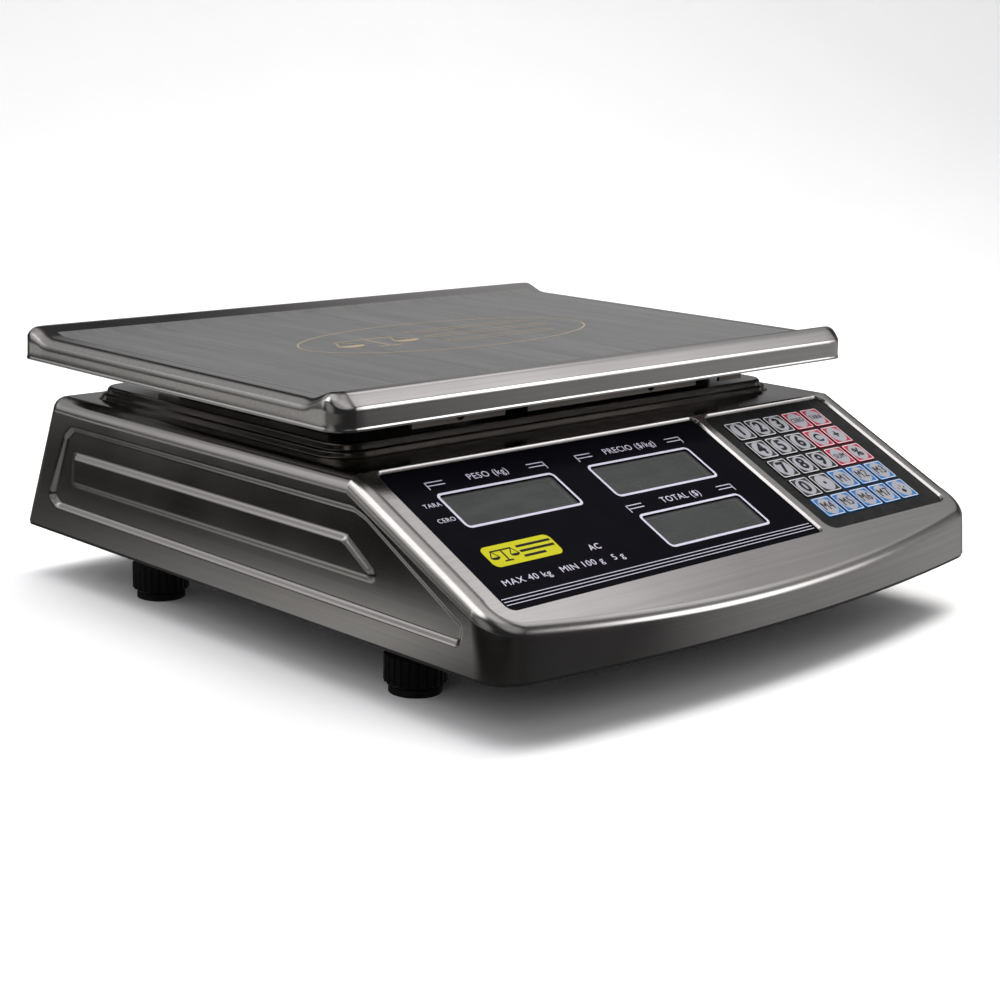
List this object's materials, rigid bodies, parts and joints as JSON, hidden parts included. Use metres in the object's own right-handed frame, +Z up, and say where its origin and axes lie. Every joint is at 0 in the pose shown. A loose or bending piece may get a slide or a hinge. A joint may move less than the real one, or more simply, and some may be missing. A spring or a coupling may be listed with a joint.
{
  "type": "retail price scale",
  "caption": "Counter-top price-computing scale: stainless tray on a load cell, bowed sloping console with display windows and push keys, levelling feet.",
  "frame": {"origin": "on the table under the middle of the scale's box", "axes": "+X to the right of the person at the keypad, +Y towards the back, +Z up"},
  "size_m": [0.33, 0.3404, 0.123],
  "materials": {
    "stainless": "brushed stainless, soft pressed edges",
    "tray_steel": "brushed stainless under a dull grey protective film",
    "frame_steel": "plain grey sheet",
    "black_plate": "black paint, satin",
    "fasteners": "zinc plated",
    "lens": "near-black, glossy, clear windows",
    "keypad_black": "fine matte grain",
    "circuit_board": "green solder mask",
    "dome_steel": "thin domes",
    "lcd": "grey-green display glass",
    "wire_grey": "soft insulation",
    "battery_case": "moulded",
    "transformer_iron": "laminated core with a wound coil",
    "black_plastic": "moulded",
    "load_cell_aluminium": "milled",
    "block_steel": "grey paint",
    "level_vial": "green liquid under clear glass",
    "pad_rubber": "dull",
    "foot_plastic": "ribbed black moulding",
    "key_black": "printed white oval with a dark character",
    "key_red": "printed white oval with a red character",
    "key_blue": "printed white oval with a blue character"
  },
  "bodies": {
    "body": {"housing": "stainless", "base_plate": "black_plate", "base_fasteners": "fasteners", "display_lens": "lens", "keypad_panel": "keypad_black", "keypad_board": "circuit_board", "key_domes": "dome_steel", "lcd_modules": "lcd", "display_boards": "circuit_board", "rear_lens": "lens", "main_board": "circuit_board", "wiring": "wire_grey", "battery": "battery_case", "transformer": "transformer_iron", "power_inlet": "black_plastic", "switch_frame": "black_plastic", "load_cell": "load_cell_aluminium", "cell_base_block": "block_steel", "overload_stop": "fasteners", "spirit_level": "level_vial", "foot_nuts": "fasteners"},
    "weigh_frame": {"weigh_frame": "frame_steel", "cell_top_block": "block_steel", "frame_screws": "fasteners", "frame_pads": "pad_rubber"},
    "platter": {"platter": "tray_steel"},
    "power_rocker": {"power_rocker": "black_plastic"},
    "foot_fl_pad": {"foot_fl_pad": "pad_rubber"},
    "foot_fl_knob": {"foot_fl_knob": "foot_plastic"},
    "foot_fr_pad": {"foot_fr_pad": "pad_rubber"},
    "foot_fr_knob": {"foot_fr_knob": "foot_plastic"},
    "foot_bl_pad": {"foot_bl_pad": "pad_rubber"},
    "foot_bl_knob": {"foot_bl_knob": "foot_plastic"},
    "foot_br_pad": {"foot_br_pad": "pad_rubber"},
    "foot_br_knob": {"foot_br_knob": "foot_plastic"},
    "key_r1c1": {"key_r1c1": "key_black"},
    "key_r1c2": {"key_r1c2": "key_black"},
    "key_r1c3": {"key_r1c3": "key_black"},
    "key_r1c4": {"key_r1c4": "key_red"},
    "key_r1c5": {"key_r1c5": "key_red"},
    "key_r2c1": {"key_r2c1": "key_black"},
    "key_r2c2": {"key_r2c2": "key_black"},
    "key_r2c3": {"key_r2c3": "key_black"},
    "key_r2c4": {"key_r2c4": "key_red"},
    "key_r2c5": {"key_r2c5": "key_red"},
    "key_r3c1": {"key_r3c1": "key_black"},
    "key_r3c2": {"key_r3c2": "key_black"},
    "key_r3c3": {"key_r3c3": "key_black"},
    "key_r3c4": {"key_r3c4": "key_red"},
    "key_r3c5": {"key_r3c5": "key_red"},
    "key_r4c1": {"key_r4c1": "key_black"},
    "key_r4c2": {"key_r4c2": "key_black"},
    "key_r4c3": {"key_r4c3": "key_blue"},
    "key_r4c4": {"key_r4c4": "key_blue"},
    "key_r4c5": {"key_r4c5": "key_blue"},
    "key_r5c1": {"key_r5c1": "key_blue"},
    "key_r5c2": {"key_r5c2": "key_blue"},
    "key_r5c3": {"key_r5c3": "key_blue"},
    "key_r5c4": {"key_r5c4": "key_blue"},
    "key_r5c5": {"key_r5c5": "key_blue"}
  },
  "joints": [
    {"name": "load_cell_sink", "type": "slide", "parent": "body", "child": "weigh_frame", "axis": [0, 0, -1], "range_m": [0, 0.0006], "stiffness_N_per_m": 300000, "springref_m": -0.0001, "deforming": ["load_cell"]},
    {"name": "platter_lift", "type": "slide", "parent": "weigh_frame", "child": "platter", "axis": [0, 0, 1], "range_m": [0, 0.06]},
    {"name": "power_rocker_tilt", "type": "hinge", "parent": "body", "child": "power_rocker", "pos_m": [0.13, 0.044, 0.027], "axis": [-1, 0, 0], "range_deg": [0, 20]},
    {"name": "foot_fl_travel", "type": "slide", "parent": "body", "child": "foot_fl_pad", "axis": [0, 0, 1], "range_m": [-0.004, 0.002]},
    {"name": "foot_fl_turn", "type": "hinge", "parent": "foot_fl_pad", "child": "foot_fl_knob", "pos_m": [-0.129, -0.081, 0.01], "axis": [0, 0, 1], "range_deg": [-1152, 576]},
    {"name": "foot_fr_travel", "type": "slide", "parent": "body", "child": "foot_fr_pad", "axis": [0, 0, 1], "range_m": [-0.004, 0.002]},
    {"name": "foot_fr_turn", "type": "hinge", "parent": "foot_fr_pad", "child": "foot_fr_knob", "pos_m": [0.129, -0.081, 0.01], "axis": [0, 0, 1], "range_deg": [-1152, 576]},
    {"name": "foot_bl_travel", "type": "slide", "parent": "body", "child": "foot_bl_pad", "axis": [0, 0, 1], "range_m": [-0.004, 0.002]},
    {"name": "foot_bl_turn", "type": "hinge", "parent": "foot_bl_pad", "child": "foot_bl_knob", "pos_m": [-0.129, 0.096, 0.01], "axis": [0, 0, 1], "range_deg": [-1152, 576]},
    {"name": "foot_br_travel", "type": "slide", "parent": "body", "child": "foot_br_pad", "axis": [0, 0, 1], "range_m": [-0.004, 0.002]},
    {"name": "foot_br_turn", "type": "hinge", "parent": "foot_br_pad", "child": "foot_br_knob", "pos_m": [0.129, 0.096, 0.01], "axis": [0, 0, 1], "range_deg": [-1152, 576]},
    {"name": "key_r1c1_press", "type": "slide", "parent": "body", "child": "key_r1c1", "axis": [0, 0.4487, -0.8937], "range_m": [0, 0.0005], "stiffness_N_per_m": 1500, "springref_m": -0.0002},
    {"name": "key_r1c2_press", "type": "slide", "parent": "body", "child": "key_r1c2", "axis": [0, 0.4487, -0.8937], "range_m": [0, 0.0005], "stiffness_N_per_m": 1500, "springref_m": -0.0002},
    {"name": "key_r1c3_press", "type": "slide", "parent": "body", "child": "key_r1c3", "axis": [0, 0.4487, -0.8937], "range_m": [0, 0.0005], "stiffness_N_per_m": 1500, "springref_m": -0.0002},
    {"name": "key_r1c4_press", "type": "slide", "parent": "body", "child": "key_r1c4", "axis": [0, 0.4487, -0.8937], "range_m": [0, 0.0005], "stiffness_N_per_m": 1500, "springref_m": -0.0002},
    {"name": "key_r1c5_press", "type": "slide", "parent": "body", "child": "key_r1c5", "axis": [0, 0.4487, -0.8937], "range_m": [0, 0.0005], "stiffness_N_per_m": 1500, "springref_m": -0.0002},
    {"name": "key_r2c1_press", "type": "slide", "parent": "body", "child": "key_r2c1", "axis": [0, 0.4487, -0.8937], "range_m": [0, 0.0005], "stiffness_N_per_m": 1500, "springref_m": -0.0002},
    {"name": "key_r2c2_press", "type": "slide", "parent": "body", "child": "key_r2c2", "axis": [0, 0.4487, -0.8937], "range_m": [0, 0.0005], "stiffness_N_per_m": 1500, "springref_m": -0.0002},
    {"name": "key_r2c3_press", "type": "slide", "parent": "body", "child": "key_r2c3", "axis": [0, 0.4487, -0.8937], "range_m": [0, 0.0005], "stiffness_N_per_m": 1500, "springref_m": -0.0002},
    {"name": "key_r2c4_press", "type": "slide", "parent": "body", "child": "key_r2c4", "axis": [0, 0.4487, -0.8937], "range_m": [0, 0.0005], "stiffness_N_per_m": 1500, "springref_m": -0.0002},
    {"name": "key_r2c5_press", "type": "slide", "parent": "body", "child": "key_r2c5", "axis": [0, 0.4487, -0.8937], "range_m": [0, 0.0005], "stiffness_N_per_m": 1500, "springref_m": -0.0002},
    {"name": "key_r3c1_press", "type": "slide", "parent": "body", "child": "key_r3c1", "axis": [0, 0.4487, -0.8937], "range_m": [0, 0.0005], "stiffness_N_per_m": 1500, "springref_m": -0.0002},
    {"name": "key_r3c2_press", "type": "slide", "parent": "body", "child": "key_r3c2", "axis": [0, 0.4487, -0.8937], "range_m": [0, 0.0005], "stiffness_N_per_m": 1500, "springref_m": -0.0002},
    {"name": "key_r3c3_press", "type": "slide", "parent": "body", "child": "key_r3c3", "axis": [0, 0.4487, -0.8937], "range_m": [0, 0.0005], "stiffness_N_per_m": 1500, "springref_m": -0.0002},
    {"name": "key_r3c4_press", "type": "slide", "parent": "body", "child": "key_r3c4", "axis": [0, 0.4487, -0.8937], "range_m": [0, 0.0005], "stiffness_N_per_m": 1500, "springref_m": -0.0002},
    {"name": "key_r3c5_press", "type": "slide", "parent": "body", "child": "key_r3c5", "axis": [0, 0.4487, -0.8937], "range_m": [0, 0.0005], "stiffness_N_per_m": 1500, "springref_m": -0.0002},
    {"name": "key_r4c1_press", "type": "slide", "parent": "body", "child": "key_r4c1", "axis": [0, 0.4487, -0.8937], "range_m": [0, 0.0005], "stiffness_N_per_m": 1500, "springref_m": -0.0002},
    {"name": "key_r4c2_press", "type": "slide", "parent": "body", "child": "key_r4c2", "axis": [0, 0.4487, -0.8937], "range_m": [0, 0.0005], "stiffness_N_per_m": 1500, "springref_m": -0.0002},
    {"name": "key_r4c3_press", "type": "slide", "parent": "body", "child": "key_r4c3", "axis": [0, 0.4487, -0.8937], "range_m": [0, 0.0005], "stiffness_N_per_m": 1500, "springref_m": -0.0002},
    {"name": "key_r4c4_press", "type": "slide", "parent": "body", "child": "key_r4c4", "axis": [0, 0.4487, -0.8937], "range_m": [0, 0.0005], "stiffness_N_per_m": 1500, "springref_m": -0.0002},
    {"name": "key_r4c5_press", "type": "slide", "parent": "body", "child": "key_r4c5", "axis": [0, 0.4487, -0.8937], "range_m": [0, 0.0005], "stiffness_N_per_m": 1500, "springref_m": -0.0002},
    {"name": "key_r5c1_press", "type": "slide", "parent": "body", "child": "key_r5c1", "axis": [0, 0.4487, -0.8937], "range_m": [0, 0.0005], "stiffness_N_per_m": 1500, "springref_m": -0.0002},
    {"name": "key_r5c2_press", "type": "slide", "parent": "body", "child": "key_r5c2", "axis": [0, 0.4487, -0.8937], "range_m": [0, 0.0005], "stiffness_N_per_m": 1500, "springref_m": -0.0002},
    {"name": "key_r5c3_press", "type": "slide", "parent": "body", "child": "key_r5c3", "axis": [0, 0.4487, -0.8937], "range_m": [0, 0.0005], "stiffness_N_per_m": 1500, "springref_m": -0.0002},
    {"name": "key_r5c4_press", "type": "slide", "parent": "body", "child": "key_r5c4", "axis": [0, 0.4487, -0.8937], "range_m": [0, 0.0005], "stiffness_N_per_m": 1500, "springref_m": -0.0002},
    {"name": "key_r5c5_press", "type": "slide", "parent": "body", "child": "key_r5c5", "axis": [0, 0.4487, -0.8937], "range_m": [0, 0.0005], "stiffness_N_per_m": 1500, "springref_m": -0.0002}
  ],
  "couplings": [
    {"joint": "foot_fl_travel", "follows": "foot_fl_turn", "m_per_rad": 0.00019894},
    {"joint": "foot_fr_travel", "follows": "foot_fr_turn", "m_per_rad": 0.00019894},
    {"joint": "foot_bl_travel", "follows": "foot_bl_turn", "m_per_rad": 0.00019894},
    {"joint": "foot_br_travel", "follows": "foot_br_turn", "m_per_rad": 0.00019894}
  ]
}
